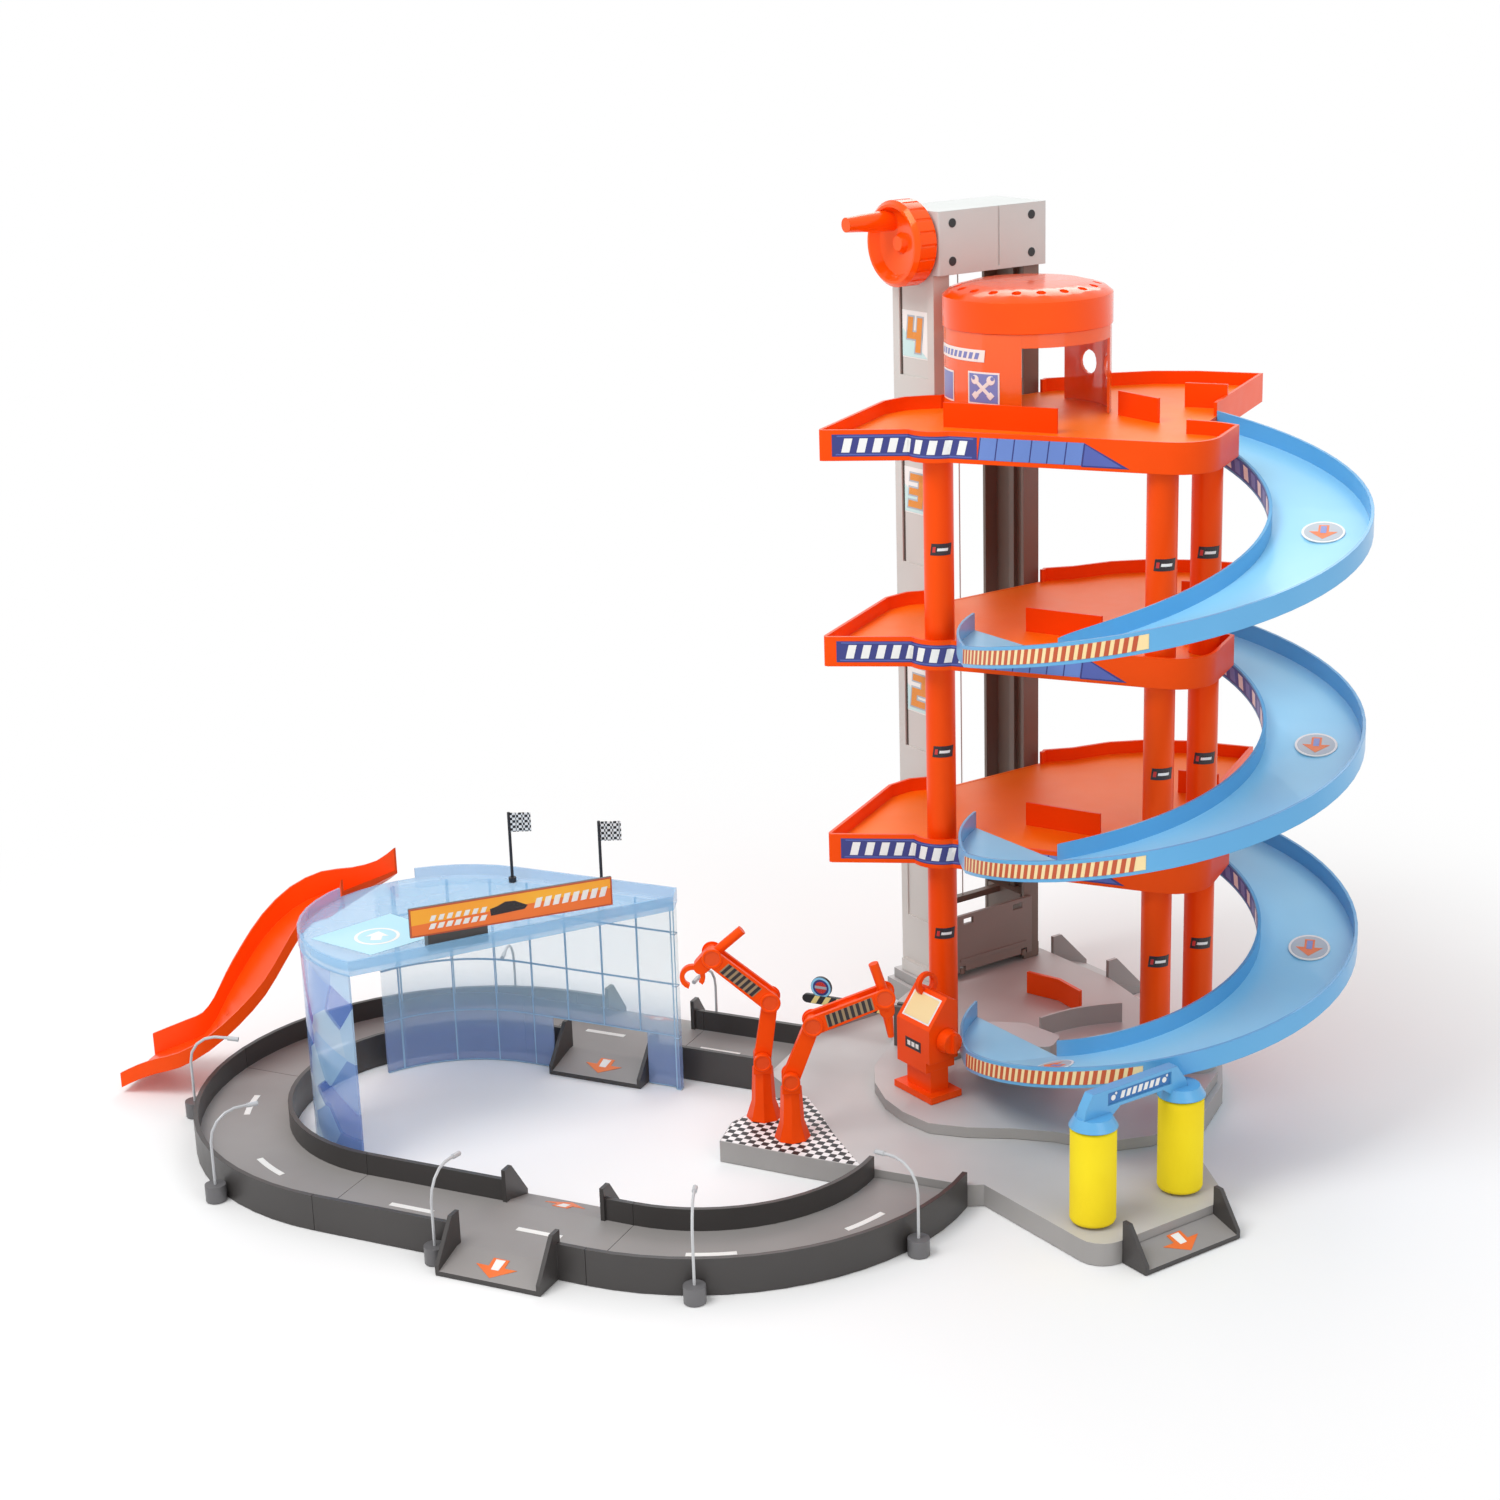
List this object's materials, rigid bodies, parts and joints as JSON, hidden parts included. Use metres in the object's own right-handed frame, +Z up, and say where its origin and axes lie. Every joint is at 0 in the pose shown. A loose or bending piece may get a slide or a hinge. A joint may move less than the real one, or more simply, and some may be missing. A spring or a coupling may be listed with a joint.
{
  "type": "toy parking garage",
  "caption": "Toy parking garage with a hand-cranked car lift, stacked decks, spiral ramps, a ring road with street lamps, showroom, slide, car wash and service robots",
  "frame": {"origin": "on the ground, under the axis of the front left column; it lies on the flat underside of the base plate", "axes": "+Z up; +X along the straights of the ring road and the decks' front edge, towards the spiral ramps; +Y towards the back; the lift tower's front is turned 59 degrees from +X towards +Y"},
  "size_m": [0.9, 0.674, 0.6463],
  "materials": {
    "orange": "orange-red moulded plastic",
    "sky_blue": "light blue moulded plastic",
    "warm_grey": "warm light grey moulded plastic",
    "road_grey": "dark grey moulded plastic",
    "base_grey": "mid grey moulded plastic",
    "dark_grey": "dark warm grey moulded plastic",
    "clear_blue": "clear blue tinted plastic",
    "clear_orange": "clear orange tinted plastic",
    "yellow_foam": "yellow soft foam",
    "silver": "silver grey plastic",
    "black": "black plastic",
    "cord_white": "thin white cord"
  },
  "bodies": {
    "garage": {"base_plate": "base_grey", "base_platform": "base_grey", "lane_fence": "orange", "floor_1": "orange", "floor_2": "orange", "floor_3": "orange", "ramp_1": "sky_blue", "ramp_2": "sky_blue", "ramp_3": "sky_blue", "column_1": "orange", "column_2": "orange", "column_3": "orange", "lift_post_left": "warm_grey", "lift_post_right": "warm_grey", "winch_housing": "warm_grey", "lift_cord": "cord_white", "booth_wall": "clear_orange", "booth_roof": "orange", "road_curve_left_rear": "road_grey", "road_curve_left_front": "road_grey", "road_curve_right_front": "road_grey", "road_front_exit": "road_grey", "road_back_exit": "road_grey", "road_back_straight": "road_grey", "showroom_roof": "clear_blue", "showroom_corner_pane": "clear_blue", "showroom_back_pane": "clear_blue", "showroom_sign": "dark_grey", "flag_1": "black", "flag_2": "black", "slide": "orange", "wash_arch": "sky_blue", "wash_exit_tray": "dark_grey", "console_body": "orange", "barrier_post": "dark_grey", "lamp_1": "silver", "lamp_2": "silver", "lamp_3": "silver", "lamp_4": "silver", "lamp_5": "silver", "lamp_6": "silver", "lamp_7": "silver"},
    "crank": {"crank_wheel": "orange", "winch_shaft": "warm_grey"},
    "lift": {"lift_cage": "dark_grey"},
    "flap": {"lift_flap": "dark_grey"},
    "knob": {"console_knob": "orange"},
    "boom": {"barrier_arm": "black"},
    "roller_front": {"wash_roller_front": "yellow_foam"},
    "roller_rear": {"wash_roller_rear": "yellow_foam"},
    "robot_1_base": {"robot_1_base": "orange"},
    "robot_1_lower_arm": {"robot_1_lower_arm": "orange"},
    "robot_1_upper_arm": {"robot_1_upper_arm": "orange"},
    "robot_1_hand": {"robot_1_hand": "orange"},
    "robot_2_base": {"robot_2_base": "orange"},
    "robot_2_lower_arm": {"robot_2_lower_arm": "orange"},
    "robot_2_upper_arm": {"robot_2_upper_arm": "orange"},
    "robot_2_hand": {"robot_2_hand": "orange"}
  },
  "joints": [
    {"name": "crank_turn", "type": "hinge", "parent": "garage", "child": "crank", "pos_m": [-0.06999, 0.13545, 0.6143], "axis": [0.515, 0.8572, 0], "range_deg": [0, 2205.8]},
    {"name": "lift_travel", "type": "slide", "parent": "garage", "child": "lift", "axis": [0, 0, 1], "range_m": [0, 0.462], "deforming": ["lift_cord"]},
    {"name": "flap_fold", "type": "hinge", "parent": "lift", "child": "flap", "pos_m": [-0.02133, 0.16827, 0.0337], "axis": [0.515, 0.8572, 0], "range_deg": [0, 90]},
    {"name": "robot_1_swivel", "type": "hinge", "parent": "garage", "child": "robot_1_base", "pos_m": [-0.09, -0.132, 0.0163], "axis": [0, 0, 1], "range_deg": [-30, 30]},
    {"name": "robot_1_shoulder", "type": "hinge", "parent": "robot_1_base", "child": "robot_1_lower_arm", "pos_m": [-0.09, -0.132, 0.062], "axis": [0.4226, -0.9063, 0], "range_deg": [-60, 25]},
    {"name": "robot_1_elbow", "type": "hinge", "parent": "robot_1_lower_arm", "child": "robot_1_upper_arm", "pos_m": [-0.08366, -0.12904, 0.1075], "axis": [0.4226, -0.9063, 0], "range_deg": [-20, 50]},
    {"name": "robot_1_wrist", "type": "hinge", "parent": "robot_1_upper_arm", "child": "robot_1_hand", "pos_m": [-0.12036, -0.14616, 0.143], "axis": [0.4226, -0.9063, 0], "range_deg": [-40, 40]},
    {"name": "robot_2_swivel", "type": "hinge", "parent": "garage", "child": "robot_2_base", "pos_m": [-0.057, -0.156, 0.0163], "axis": [0, 0, 1], "range_deg": [-30, 5]},
    {"name": "robot_2_shoulder", "type": "hinge", "parent": "robot_2_base", "child": "robot_2_lower_arm", "pos_m": [-0.057, -0.156, 0.062], "axis": [-0.4226, 0.9063, 0], "range_deg": [-35, 25]},
    {"name": "robot_2_elbow", "type": "hinge", "parent": "robot_2_lower_arm", "child": "robot_2_upper_arm", "pos_m": [-0.04205, -0.14903, 0.1035], "axis": [-0.4226, 0.9063, 0], "range_deg": [-30, 25]},
    {"name": "robot_2_wrist", "type": "hinge", "parent": "robot_2_upper_arm", "child": "robot_2_hand", "pos_m": [0.00418, -0.12747, 0.123], "axis": [-0.4226, 0.9063, 0], "range_deg": [-40, 30]},
    {"name": "roller_front_spin", "type": "hinge", "parent": "garage", "child": "roller_front", "pos_m": [0.18041, -0.20193, 0.018], "axis": [0, 0, 1], "continuous": true},
    {"name": "roller_rear_spin", "type": "hinge", "parent": "garage", "child": "roller_rear", "pos_m": [0.22059, -0.13507, 0.018], "axis": [0, 0, 1], "continuous": true},
    {"name": "boom_lift", "type": "hinge", "parent": "garage", "child": "boom", "pos_m": [-0.036, 0.006, 0.0506], "axis": [0.0175, 0.9998, 0], "range_deg": [0, 80]},
    {"name": "knob_turn", "type": "hinge", "parent": "garage", "child": "knob", "pos_m": [0.02975, -0.07433, 0.0706], "axis": [0.8572, -0.515, 0], "range_deg": [-150, 150]}
  ],
  "couplings": [
    {"joint": "lift_travel", "follows": "crank_turn", "m_per_rad": 0.012}
  ]
}
